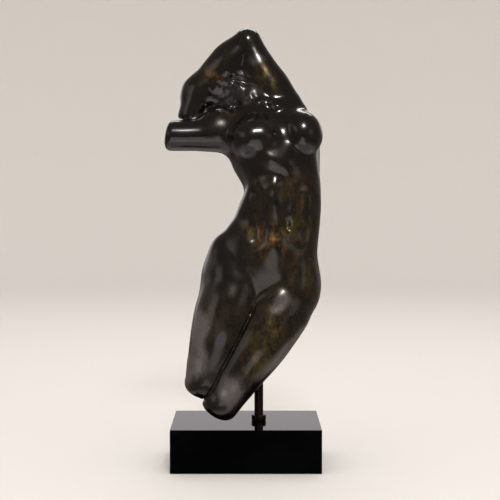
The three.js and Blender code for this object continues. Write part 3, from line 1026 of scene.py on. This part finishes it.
rod_profile = [(0, rod_low.z), (ROD_RADIUS, rod_low.z), (ROD_RADIUS, rod_high.z), (0, rod_high.z)]
rod = turned("carrying_rod", rod_profile, ROD_X, ROD_Y)
collar_profile = [(ROD_RADIUS + ROD_GAP, collar_low.z)]
collar_profile += rounded_corner(COLLAR_RADIUS, collar_low.z, COLLAR_EDGE, 0)
collar_profile += rounded_corner(COLLAR_RADIUS, collar_high.z, COLLAR_EDGE, 1)
collar_profile += [(ROD_RADIUS + ROD_GAP, collar_high.z)]
collar = turned("foot_collar", collar_profile, ROD_X, ROD_Y)


# %% Blackened steel
STEEL_BLACK = (0.012, 0.009, 0.008)
STEEL_BROWN = (0.045, 0.03, 0.022)


def steel_material():
    material, tree, shader = new_material("blackened_steel")
    where = add_node(tree, "ShaderNodeTexCoord").outputs["Object"]
    cloud = noise_on(tree, where, (1, 1, 0.3), 120, 4)
    lines = noise_on(tree, where, (0.05, 0.05, 1), 2600, 2)
    colour = blended(tree, mapped(tree, cloud, 0.35, 0.7), STEEL_BLACK, STEEL_BROWN)
    tree.links.new(colour, shader.inputs["Base Color"])
    tree.links.new(mapped(tree, cloud, 0.3, 0.7, 0.2, 0.36), shader.inputs["Roughness"])
    shader.inputs["Metallic"].default_value = 0.85
    bump = add_node(tree, "ShaderNodeBump", Strength=0.15, Distance=0.0001)
    tree.links.new(lines, bump.inputs["Height"])
    tree.links.new(bump.outputs["Normal"], shader.inputs["Normal"])
    return material


steel = steel_material()
for piece, node in ((rod, "mounting_rod"), (collar, "rod_collar")):
    piece.data.materials.append(steel)
    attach(piece, BODY)
    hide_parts(node)

# %% [markdown]
# ## Floor and light
# The floor is pale and plain, and curves up far away on all sides, so that no edge shows from any
# angle. A small soft box above the camera gives the sharp highlights, and a long one behind gives
# the rims. A wide wash overhead lights the floor. Glossy metal and stone mostly show what they
# reflect, so neither the wash nor the floor is seen in them, and a card of light and a sky made for
# the purpose are seen instead.

# %% Floor
FLOOR_FLAT = 2.2
FLOOR_CURVE = 1.2
FLOOR_RIM = 3.0
CURVE_STEPS = 12
FLOOR_COLOUR = (0.63, 0.6, 0.565, 1)


def floor_profile():
    """Flat, then a quarter of a circle, then a wall."""
    points = [(0.0, 0.0), (FLOOR_FLAT, 0.0)]
    for k in range(1, CURVE_STEPS + 1):
        a = k / CURVE_STEPS * math.pi / 2
        points.append((FLOOR_FLAT + FLOOR_CURVE * math.sin(a), FLOOR_CURVE * (1 - math.cos(a))))
    return points + [(FLOOR_FLAT + FLOOR_CURVE, FLOOR_RIM)]


def spun_floor(profile, sides=96):
    """The profile spun round the middle, with its faces turned up."""
    mesh = bpy.data.meshes.new("floor")
    b = bmesh.new()
    rings = [ring(b, 0, 0, radius, height, sides) for radius, height in profile]
    for inner, outer in zip(rings, rings[1:]):
        skirt(b, outer, inner, sides)
    b.to_mesh(mesh)
    b.free()
    mesh.shade_smooth()
    return mesh


floor = bpy.data.objects.new("floor", spun_floor(floor_profile()))
scene.collection.objects.link(floor)
floor_material, _, floor_shader = new_material("pale_floor")
floor_shader.inputs["Base Color"].default_value = FLOOR_COLOUR
floor_shader.inputs["Roughness"].default_value = 0.85
floor.data.materials.append(floor_material)


# %% Lights
AIM = (0.01, 0, 0.26)
CARD_PLACE = (0.0, -0.75, 0.004)
CARD_AIM = (0.0, -0.75, 1.0)
CARD_TINT = (1, 0.94, 0.94)


def soft_box(name, place, aim, wide, high, power, colour=(1, 1, 1)):
    data = bpy.data.lights.new(name, "AREA")
    data.shape = "RECTANGLE"
    data.size = wide
    data.size_y = high
    data.energy = power
    data.color = colour
    lamp = bpy.data.objects.new(name, data)
    lamp.location = place
    way = np.array(aim, float) - np.array(place, float)
    tilt = math.atan2(math.hypot(way[0], way[1]), -way[2])
    turn = math.atan2(way[1], way[0]) - math.pi / 2
    lamp.rotation_euler = (tilt, 0, turn)
    scene.collection.objects.link(lamp)
    return lamp


soft_box("key", (0.15, -1.3, 1.3), AIM, 0.26, 0.26, 12)
soft_box("back", (0.1, 1.1, 1.4), AIM, 1.2, 0.25, 4.5)
card = soft_box("table", CARD_PLACE, CARD_AIM, 0.9, 0.3, 0.68, CARD_TINT)
card.visible_camera = False
wash = soft_box("wash", (0.0, 0.0, 2.95), AIM, 6.0, 6.0, 170)
wash.visible_glossy = False
floor.visible_glossy = False


# %% [markdown]
# ## What the metal reflects
# A black bronze in a dark room is drawn by the pale things round it. The sky is dark, but pale below,
# and pale behind the piece, where the top of the polished stone mirrors it towards the camera. A
# panel on each side gives the limbs their grey edges, and the card lying in front brightens what
# faces down. The strip that the plinth's front mirrors is almost black.

# %% The sky
DARK = (0.15, 0.125, 0.11)
WALL = (0.82, 0.77, 0.78)
BELOW = (0.6, 0.55, 0.55)
LEFT_PANEL = (0.72, 0.65, 0.64)
RIGHT_PANEL = (0.45, 0.4, 0.4)
BLACK_STRIP = (0.02, 0.02, 0.02)


def sky():
    """A dark sky with soft-edged pale areas, each a product of ranges of the direction's x, y, z."""
    world = bpy.data.worlds.new("sky")
    world.use_nodes = True
    tree = world.node_tree
    way = add_node(tree, "ShaderNodeTexCoord").outputs["Generated"]
    split = add_node(tree, "ShaderNodeSeparateXYZ")
    tree.links.new(way, split.inputs["Vector"])
    x, y, z = split.outputs

    def window(value, low, high, soft):
        """1 between low and high, with soft edges."""
        rising = mapped(tree, value, low, low + soft)
        falling = mapped(tree, value, high, high - soft)
        return combined(tree, "MULTIPLY", rising, falling)

    def area(*ranges):
        """Where all the ranges overlap."""
        found = ranges[0]
        for other in ranges[1:]:
            found = combined(tree, "MULTIPLY", found, other)
        return found

    wall = area(window(z, 0.0, 0.42, 0.12), mapped(tree, y, 0.5, 0.85))
    below = mapped(tree, z, -0.5, -0.8)
    left = area(window(x, -0.97, -0.55, 0.14), window(z, 0.0, 0.55, 0.2), mapped(tree, y, 0.3, 0.1))
    right = area(window(x, 0.5, 0.9, 0.1), window(z, -0.1, 0.35, 0.12), mapped(tree, y, 0.0, -0.15))
    strip = area(mapped(tree, y, -0.93, -0.965), window(z, -0.34, -0.08, 0.08))
    colour = blended(tree, wall, DARK, WALL)
    colour = blended(tree, below, colour, BELOW)
    colour = blended(tree, left, colour, LEFT_PANEL)
    colour = blended(tree, right, colour, RIGHT_PANEL)
    colour = blended(tree, strip, colour, BLACK_STRIP)
    tree.links.new(colour, tree.nodes["Background"].inputs["Color"])
    return world


scene.world = sky()
scene.view_settings.view_transform = "Standard"
